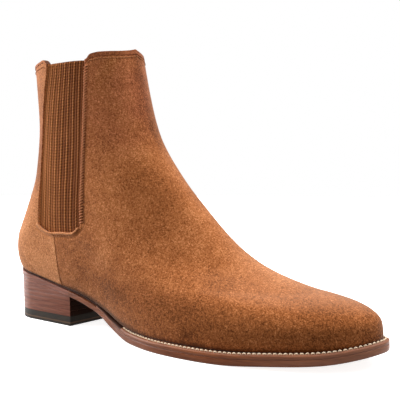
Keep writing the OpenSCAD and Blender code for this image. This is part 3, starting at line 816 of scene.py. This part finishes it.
def tone_of(obj, u, v):
    """Paints how far the suede is from its middle tone: painted shade and painted light by region and
    height, a darker side seam, a painted highlight on top of the toe, and which rims stay rubbed and
    highlighted.
    """
    k = np.where(u % COLS > HALF, COLS - u % COLS, u % COLS)
    points = np.array([vertex.co for vertex in obj.data.vertices])
    x, z = points[:, 0], points[:, 2]
    # Painted shade in the crease above the welt, deepest at the waist
    waist = ramp(x, 0.02, 0.03) * ramp(x, 0.125, -0.03)
    tone = -0.03 * np.clip(1 - v / 2.5, 0, 1) ** 2
    tone -= (0.6 + 0.3 * waist) * np.clip(1 - v / (0.42 + 0.3 * waist), 0, 1)
    # Painted shade beside the gore, low on the vamp's side and up the front of the shaft
    tone -= 0.36 * ramp(v, FOOT, 4) * (k > SEAM)
    tone -= 0.2 * hump(v, 3.2, 1.5) * ramp(x, 0.04, 0.04) * ramp(x, 0.2, -0.05)
    tone -= 0.28 * ramp(z, 0.11, 0.03) * np.clip(1 - k / 4, 0, 1)
    # Painted light towards the topline, painted shade low on the front
    tone += 0.14 * ramp(z, 0.13, 0.07) - 0.14 * ramp(z, 0.05, -0.03) * (k < SEAM)
    # The side seam, darker, and painted shade on the folded strip in front of the gore where its
    # stitches lie, by millimetres from each
    from_seam, from_edge = np.abs(k - SEAM) * 6.0, (EDGE - k) * 4.6
    tone -= 0.45 * hump(from_seam, 0, 0.7) * (v < FOOT)
    tone -= 0.35 * ((from_edge > -0.1) & (from_edge < 2.4) & (v > FOOT + 0.4) & (v < TOP - 1))
    paint(obj, "tone", tone)
    # Painted highlight where the toe and vamp face up
    up = np.array([normal.vector.z for normal in obj.data.vertex_normals])
    paint(obj, "painted_toe_highlight", 0.12 * ramp(up, 0.7, 0.25) * ramp(x, 0.08, 0.06))
    # Only the edges above the foot of the gore are rubbed and carry the painted highlight
    rubbed_and_highlit = obj.data.attributes["edge"].data
    rubbed_and_highlit.foreach_set("value", np.where(v < FOOT - 0.1, 0, [a.value for a in rubbed_and_highlit]).astype(np.float32))


def in_front(u, v):
    return np.abs(u) < np.where(v < FOOT, SEAM, EDGE)


def in_back(u, v):
    return np.abs(u - HALF) < np.where(v < FOOT, HALF - SEAM, HALF - REAR)


FRONT_MARKS, BACK_MARKS = [-SEAM, -EDGE, EDGE, SEAM], [SEAM, REAR, COLS - REAR, COLS - SEAM]
ROW_MARKS = [0, FOOT, TOP]

front, u, v = shell("front_panel_suede", lines(FRONT_MARKS, 6), lines(ROW_MARKS, 6), in_front,
                    0, SUEDE_T, 0.8 * MM, upper_relief(3))
tone_of(front, u, v)
finish_piece(front, SUEDE, "suede", "front_panel")

back, u, v = shell("back_panel_suede", lines(BACK_MARKS, 6), lines(ROW_MARKS, 6), in_back,
                   0, SUEDE_T, 0.8 * MM, upper_relief(4))
tone_of(back, u, v)
finish_piece(back, SUEDE_HEEL_PAINTED_LIGHT, "suede", "heel_quarter", "back_strip", bend=BACK_BEND)

lining, *_ = shell("front_lining_leather", lines(FRONT_MARKS, 3), lines(ROW_MARKS, 3), in_front,
                   LINING_DEPTH, LINING_T, 0.3 * MM)
finish_piece(lining, LINING, "lining_leather", "front_lining")
lining, *_ = shell("back_lining_leather", lines(BACK_MARKS, 3), lines(ROW_MARKS, 3), in_back,
                   LINING_DEPTH, LINING_T, 0.3 * MM)
finish_piece(lining, LINING, "lining_leather", "heel_lining", "back_strip_lining", bend=BACK_BEND)

RIBS = 16
GORE_STITCH_U = EDGE - 0.2      # the column that the blanket stitches follow
dense_u, dense_v = np.linspace(EDGE - 1.2, REAR + 1.2, 400), np.linspace(0, TOP, TOP * 20 + 1)


def rib_place(us, vs):
    """Ribs counted across the gore from its front edge, and length up it in millimetres."""
    count = np.empty_like(us)
    for value in np.unique(vs):
        row = vs == value
        along = run_along(skin.point(dense_u, value))
        start, end = np.interp([EDGE, REAR], dense_u, along)
        count[row] = (np.interp(us[row], dense_u, along) - start) / (end - start) * RIBS
    climb = run_along(skin.point((EDGE + REAR) / 2, dense_v))
    return count, np.interp(vs, dense_v, climb) / MM


def stitch_places(us, vs, pitch):
    """Columns and rows of the stitches along a line on the skin."""
    whole = np.linspace(0, 1, len(us))
    at = spaced(skin.point(us, vs), pitch)
    return np.interp(at, whole, us), np.interp(at, whole, vs)


def everywhere(u, v):
    return np.full(u.shape, True)


for side, name in ((-1, "lateral"), (1, "medial")):
    def ribbed(p, u, v):
        """How far the gore sinks: each other rib stands less proud, and all fade out at the topline."""
        count, _ = rib_place(on_side(side, u), v)
        major = 0.5 + 0.5 * np.cos(2 * np.pi * count)
        tall = 0.7 + 0.3 * np.cos(np.pi * count)
        return 0.15 * MM - 0.6 * MM * major * tall * ramp(v, TOP, -0.25)

    us = np.sort(on_side(side, lines([EDGE - 1, EDGE, REAR, REAR + 1], 14, near=(0.05,))))
    gore, u, v = shell("gore_%s_elastic" % name, us, lines([FOOT - 2, FOOT, TOP], 5), everywhere,
                       GORE_DEPTH, MIDDLE_T, 0.25 * MM, ribbed)
    rib, run = rib_place(on_side(side, u), v)
    paint(gore, "rib", rib)
    paint(gore, "run", run)
    finish_piece(gore, ELASTIC, "elastic", "gore_" + name, bend=GORE_BEND)

    # The folded edges of the two panels make a cord along the foot of the gore, lapped at the side seam
    cords = []
    s = np.linspace(0, 1, 70)
    taper = np.sqrt(np.clip(1 - (np.abs(s - 0.5) * 2) ** 14, 0.02, 1))
    for k0, k1, lift in ((EDGE + 0.02, SEAM + 0.25, 0.35), (SEAM - 0.05, REAR + 0.25, 0.7)):
        at, n = skin.point(on_side(side, np.linspace(k0, k1, len(s))), FOOT - 0.02, normals=True)
        at = eased(at, 16) + n * lift * MM
        cords.append(tube("cord", at, n, 0.95 * MM * taper, 0.8 * MM * taper, 12))
    cord = joined("gore_edge_" + name, cords)
    paint(cord, "tone", np.full(len(cord.data.vertices), 0.04))
    finish_piece(cord, SUEDE_HEEL_PAINTED_LIGHT, "suede", "gore_piping_" + name)

    # Blanket stitches over the front panel's edge
    vs = np.linspace(FOOT + 0.3, TOP - 1.0, 300)
    su, sv = stitch_places(on_side(side, np.full(len(vs), GORE_STITCH_U)), vs, 1.95 * MM)
    c, n = skin.point(su, sv, normals=True)
    ahead = skin.point(su - side * 0.2, sv - 0.03)
    stitches = threads("gore_stitches_" + name, c, ahead, n,
                       lift=0.05, length=4.1, width=1.1, height=1.1, arch=0.6)
    finish_piece(stitches, TONAL, "tonal_thread", "gore_stitching_" + name)


def bound_edge(name, u0, u1, count, wide):
    """A turned strip over the topline: down the outside, over the top and down the inside."""
    us = np.linspace(u0, u1, count)
    low, high = TOP - wide, TOP - 1e-6
    inside = LINING_DEPTH + LINING_T + 0.25 * MM
    # Rows round its section: the row on the skin, the depth below it and the rise above the topline
    side_v = np.linspace(low, TOP, 9)
    profile = [(v, -0.05 * MM - 0.3 * MM * math.sin(min(1, k / 1.5) * math.pi / 2), 0.0)
               for k, v in enumerate(side_v)]
    outside = profile[-1][1]
    for a in np.linspace(0, math.pi, 9)[1:-1]:
        depth = (outside + inside) / 2 - (inside - outside) / 2 * math.cos(a)
        profile.append((TOP, depth, 0.35 * MM * math.sin(a)))
    profile += [(v, inside, 0.0) for v in side_v[::-1]]
    profile += [(low, inside - 0.5 * MM, 0.0), (low, 0.25 * MM, 0.0)]
    up = unit(skin.point(us, high) - skin.point(us, TOP - 0.2))
    rings = []
    for v, depth, rise in profile:
        p, n = skin.point(us, min(v, high), normals=True)
        rings.append(p - n * depth + up * rise)
    m = len(profile)
    verts = np.concatenate(rings)
    starts = np.arange(m) * count
    faces = [[a + k, a + k + 1, b + k + 1, b + k]
             for a, b in zip(starts, np.roll(starts, -1)) for k in range(count - 1)]
    faces += [starts, (starts + count - 1)[::-1]]
    _, n = skin.point(us[:1], low, normals=True)
    obj = make(name, verts, faces, facing=n[0])
    paint(obj, "tone", np.repeat([-0.75 if rise > 0 else -0.05 for _, _, rise in profile], count))
    return obj


def top_stitches(name, u0, u1):
    us = np.linspace(u0, u1, 300)
    su, sv = stitch_places(us, np.full(len(us), TOP - 1.0), 2.3 * MM)
    c, n = skin.point(su, sv, normals=True)
    return threads(name, c, skin.point(su + 0.1, sv), n, lift=0.08, length=1.9, width=0.6, height=0.5)


binding = bound_edge("topline_binding_front_strip", -EDGE, EDGE, 150, 0.7)
finish_piece(binding, BINDING, "suede", "topline_binding_front")
binding = bound_edge("topline_binding_back_strip", REAR, COLS - REAR, 90, 0.4)
finish_piece(binding, BINDING, "suede", "topline_binding_back", body="shaft_back")
stitches = top_stitches("topline_stitches_front", -EDGE + 0.6, EDGE - 0.6)
finish_piece(stitches, PALE_TONAL, "tonal_thread", "topline_stitching_front")
stitches = top_stitches("topline_stitches_back", REAR + 0.6, COLS - REAR - 0.6)
finish_piece(stitches, PALE_TONAL, "tonal_thread", "topline_stitching_back", body="shaft_back")


# ---------------------------------------------------------------- sole

class Plan:
    """The plan outline of a sole piece, and its lower and upper height along the sole."""

    def __init__(self, node, steps=60, dense=4):
        co, _ = welded(node)
        x0, x1 = co[:, 0].min(), co[:, 0].max()
        xs = x0 + (x1 - x0) * (1 - np.cos(np.pi * np.arange(steps + 1) / steps)) / 2
        sides = [(x, co[np.abs(co[:, 0] - x) < 3e-5][:, 1]) for x in xs]
        found = np.array([(x, ys.min(), ys.max()) for x, ys in sides if len(ys)])
        low, high = (np.interp(xs, found[:, 0], found[:, c]) for c in (1, 2))
        ring = np.concatenate([np.stack([xs, low], 1), np.stack([xs, high], 1)[-2:0:-1]])
        # A smooth curve through the ring, with dense points to each of its steps
        n = len(ring)
        k = np.arange(n * dense)
        i, f = k // dense, ((k % dense) / dense)[:, None]
        a, b, c, d = ring[(i - 1) % n], ring[i % n], ring[(i + 1) % n], ring[(i + 2) % n]
        self.ring = 0.5 * (2 * b + (c - a) * f + (2 * a - 5 * b + 4 * c - d) * f ** 2
                           + (3 * b - a - 3 * c + d) * f ** 3)
        t = unit(np.roll(self.ring, -1, 0) - np.roll(self.ring, 1, 0))
        self.normal = np.stack([t[:, 1], -t[:, 0]], 1)
        self.square_to = -FAR
        self.read_heights(node)

    def read_heights(self, node):
        co, _ = welded(node)
        self.xs = np.unique(np.round(co[:, 0], 5))
        rows = [co[np.abs(co[:, 0] - x) < 2e-5][:, 2] for x in self.xs]
        self.low = np.array([r.min() for r in rows])
        self.high = np.array([r.max() for r in rows])
        return self

    def at(self, offset, share, rise):
        """Ring of points offset mm outside the outline, at a share of the thickness plus a rise in mm.
        Rounding is held back as far as square_to, where another piece sits against the edge."""
        ease = np.where((self.ring[:, 0] < self.square_to) & (abs(offset) < 1), 0.15, 1.0) * MM
        p = self.ring + self.normal * (offset * ease)[:, None]
        low, high = np.interp(p[:, 0], self.xs, self.low), np.interp(p[:, 0], self.xs, self.high)
        return np.column_stack([p, low + (high - low) * share + rise * ease])


def slab(name, plan, profile, across=14):
    """A solid between the two flat ends of a stack of rings, one for each (offset, share, rise)."""
    rings = [plan.at(*row) for row in profile]
    m = len(plan.ring)
    half = m // 2
    verts = list(np.concatenate(rings))
    faces = bands(len(rings), m)
    for end, ring in enumerate((rings[0], rings[-1])):
        base = end * (len(rings) - 1) * m
        rows = []
        for k in range(half + 1):
            if k in (0, half):
                rows.append([base + k] * (across + 1))
                continue
            row = [base + k]
            for f in np.arange(1, across) / across:
                row.append(len(verts))
                verts.append(ring[k] * (1 - f) + ring[m - k] * f)
            rows.append(row + [base + m - k])
        for k in range(half):
            for s in range(across):
                quad = (rows[k][s], rows[k + 1][s], rows[k + 1][s + 1], rows[k][s + 1])
                face = list(dict.fromkeys(quad))
                if len(face) > 2:
                    faces.append(face if end else face[::-1])
    return faced_out(make(name, verts, faces))


def ring_piece(name, plan, profile, x_from=-FAR, x_to=FAR):
    """A band that follows the outline between two stations. profile goes round its section."""
    rings = np.array([plan.at(*row) for row in profile])
    m, n = len(plan.ring), len(profile)
    kept = (plan.ring[:, 0] >= x_from) & (plan.ring[:, 0] <= x_to)
    count = int(kept.sum())
    order = (int(np.argmax(kept & ~np.roll(kept, 1))) + np.arange(count)) % m
    faces = bands(count, n)
    faces.append(list(range(n))[::-1])
    faces.append([(count - 1) * n + s for s in range(n)])
    return faced_out(make(name, rings[:, order].transpose(1, 0, 2).reshape(-1, 3), faces))


def refined(node, bevel, material, slot, segments=2, sharp=32, breast=None):
    """A copy of a CAD node with its edges softened by a bevel in mm, and another material on its front
    face if breast gives one."""
    mesh = frame["nodes"][node].data.copy()
    bm = bmesh.new()
    bm.from_mesh(mesh)
    bmesh.ops.remove_doubles(bm, verts=bm.verts, dist=2e-6)
    bmesh.ops.dissolve_limit(bm, angle_limit=math.radians(0.6), verts=bm.verts, edges=bm.edges)
    if bevel > 0:
        edges = [e for e in bm.edges
                 if len(e.link_faces) == 2 and e.calc_face_angle(0) > math.radians(40)]
        bmesh.ops.bevel(bm, geom=edges, offset=bevel * MM, segments=segments, profile=0.6,
                        affect="EDGES", clamp_overlap=True)
    bmesh.ops.triangulate(bm, faces=[f for f in bm.faces if len(f.verts) > 4])
    verts = [v.co.copy() for v in bm.verts]
    # The triangles come in another order in each run, so they are sorted
    faces = sorted(([v.index for v in f.verts] for f in bm.faces), key=sorted)
    bm.free()
    bpy.data.meshes.remove(mesh)
    obj = make(node + "_piece", verts, faces)
    obj.data.set_sharp_from_angle(angle=math.radians(sharp))
    finish_piece(obj, material, slot, node)
    if breast:
        obj.data.materials.append(breast)
        for polygon in obj.data.polygons:
            polygon.material_index = int(polygon.normal.x > 0.9)


outsole_plan = Plan("outsole")
heel_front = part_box("heel_lift_1")[1][0]
outsole_plan.square_to = heel_front
sole = slab("outsole_leather", outsole_plan, [
    (-7.2, 0, 0), (-6.3, 0, 0), (-6.0, 0, 0.28), (-5.7, 0, 0), (-3, 0, 0), (-0.9, 0, 0),
    (-0.35, 0, 0.12), (-0.05, 0, 0.45), (0.06, 0.3, 0), (0.08, 0.55, 0), (0.04, 0.8, 0), (0, 1, -0.08),
    (-0.1, 1, -0.01), (-1.2, 1, 0)])
finish_piece(sole, SOLE_EDGE, "sole_leather", "outsole")
sole.data.materials.append(SOLE_FACE)
sole.data.materials.append(HEEL_STACK)
for polygon in sole.data.polygons:
    if polygon.normal.z < -0.85:
        polygon.material_index = 1
    elif polygon.center.x < heel_front:
        polygon.material_index = 2

CUT_MARGIN = 0.5 * MM
welt_plan = Plan("outsole").read_heights("welt")
welt = ring_piece("welt_strip", welt_plan, [
    (-9.8, 0, 0), (-0.1, 0, 0), (-0.02, 0, 0.06), (0, 0.4, 0), (-0.02, 0.6, 0), (-0.2, 0.82, 0),
    (-0.75, 1, -0.06), (-1.6, 1, 0), (-2.6, 1, -0.12), (-5, 1, -0.05), (-9.8, 1, 0)],
    x_from=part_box("welt")[0][0] - CUT_MARGIN)
finish_piece(welt, WELT, "welt_leather", "welt")
welt.data.materials.append(WELT_TOP)
welt.data.materials.append(RAND_AND_PAINTED_SHADE)
stitching_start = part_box("welt_stitching")[0][0]
# Before the stitching, the welt's upward faces take the rand leather as painted shade under the upper
for polygon in welt.data.polygons:
    if polygon.center.x < stitching_start:
        polygon.material_index = 2 if polygon.normal.z > 0.25 else 0
    else:
        polygon.material_index = int(polygon.normal.z > 0.55)

rand = ring_piece("heel_rand_strip", Plan("outsole").read_heights("heel_rand"), [
    (-9.5, 0, 0.02), (-1.25, 0, 0.02), (-1.05, 0.5, 0), (-1.3, 1, 0.05), (-9.5, 1, 0)],
    x_to=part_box("heel_rand")[1][0] + CUT_MARGIN)
finish_piece(rand, RAND_AND_PAINTED_SHADE, "dark_leather", "heel_rand")

path = welt_plan.at(-2.1, 1, 0)
path = path[path[:, 0] > stitching_start - 1 * MM]
at = spaced(path, 2.9 * MM)
whole = np.linspace(0, 1, len(path))
middles, ahead = (np.column_stack([np.interp(at + step, whole, path[:, c]) for c in range(3)])
                  for step in (0, 1e-4))
upward = np.tile([0.0, 0.0, 1.0], (len(at), 1))
stitches = threads("welt_stitches", middles, ahead, upward,
                   lift=0.1, length=2.35, width=1.05, height=1.0)
finish_piece(stitches, CREAM, "cream_thread", "welt_stitching")

# The breast of each heel layer takes the near-black leather: dark dye with painted shade
for node in ("lift_1", "lift_2", "lift_3", "lift_4", "wedge_lower", "wedge_upper"):
    bevel = 0.09 if node.startswith("lift") else 0.07
    refined("heel_" + node, bevel, HEEL_STACK, "stacked_leather", breast=DARK)
refined("top_lift", 0.7, RUBBER, "rubber", segments=3)
refined("top_lift_nails", 0.15, BRASS, "brass_nails")
refined("heel_nails", 0, STEEL, "steel")
refined("shank", 0.2, STEEL, "steel")
refined("cork_filler", 0, CORK, "cork")
refined("heel_counter", 0, STIFFENER, "stiffener", sharp=60)
refined("toe_puff", 0, STIFFENER, "stiffener", sharp=60)
for node, material, slot in (("insole", INSOLE, "insole_leather"),
                             ("sock_liner", LINING, "lining_leather")):
    piece = slab(node + "_leather", Plan(node), [
        (-0.5, 0, 0), (0, 0, 0.2), (0, 1, -0.25), (-0.15, 1, -0.06), (-0.6, 1, 0)])
    finish_piece(piece, material, slot, node)


# ---------------------------------------------------------------- stage

AMBIENT_LOW, AMBIENT_HIGH = 0.16, 0.5      # the room's light from below and from above

floor_mesh = bpy.data.meshes.new("floor")
bm = bmesh.new()
bmesh.ops.create_grid(bm, x_segments=8, y_segments=8, size=6.0)
bm.to_mesh(floor_mesh)
bm.free()
floor = bpy.data.objects.new("floor", floor_mesh)
scene = bpy.context.scene
scene.collection.objects.link(floor)
floor.data.materials.append(studio_floor("floor_paper"))
floor.visible_diffuse = False
floor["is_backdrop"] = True

scene.view_settings.view_transform = "Standard"
world = bpy.data.worlds.new("studio")
world.use_nodes = True
sky = Nodes(world.node_tree)
up = sky.node("SeparateXYZ", {0: sky.node("TexCoord", {}).outputs["Generated"]}).outputs["Z"]
room = sky.node("Background", {"Color": sky.span(up, -0.5, 0.9, AMBIENT_LOW, AMBIENT_HIGH)})
backdrop = sky.tree.nodes["Background"]
sky.feed(backdrop.inputs["Color"], (1, 1, 1, 1))
seen = sky.node("LightPath", {}).outputs["Is Camera Ray"]
both = sky.node("MixShader", {0: seen, 1: room.outputs[0], 2: backdrop.outputs[0]}).outputs[0]
sky.feed(sky.tree.nodes["World Output"].inputs["Surface"], both)
scene.world = world

low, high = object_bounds()
middle = (low + high) / 2


def aimed(obj, azimuth, elevation, distance=0.0, place=None):
    """Turns a lamp or camera to look from an azimuth and elevation, at a distance or a place."""
    a, e = math.radians(azimuth), math.radians(elevation)
    back = Vector((math.sin(a) * math.cos(e), -math.cos(a) * math.cos(e), math.sin(e)))
    obj.location = place or middle + back * distance
    obj.rotation_euler = back.to_track_quat("Z", "Y").to_euler()
    scene.collection.objects.link(obj)
    return obj


def softbox(name, azimuth, elevation, distance, size, watts):
    data = bpy.data.lights.new(name, "AREA")
    data.shape = "RECTANGLE"
    data.size, data.size_y = size
    data.energy = watts
    aimed(bpy.data.objects.new(name, data), azimuth, elevation, distance)


def skylight(name, azimuth, elevation, spread, strength):
    data = bpy.data.lights.new(name, "SUN")
    data.energy = strength
    data.angle = math.radians(spread)
    aimed(bpy.data.objects.new(name, data), azimuth, elevation, 2.0)


skylight("overhead", 150, 68, 60, 3.4)
softbox("left_box", -68, 22, 1.1, (0.7, 0.9), 17.0)
softbox("right_box", 125, 30, 1.1, (0.7, 1.0), 2.5)
softbox("front_box", 5, 25, 1.6, (1.2, 1.0), 2.5)

camera = bpy.data.cameras.new("camera")
camera.lens = 54.05
camera.sensor_width = 36
scene.camera = aimed(bpy.data.objects.new("camera", camera), 37.3, 1.4, place=(0.37725, -0.322, 0.0995))
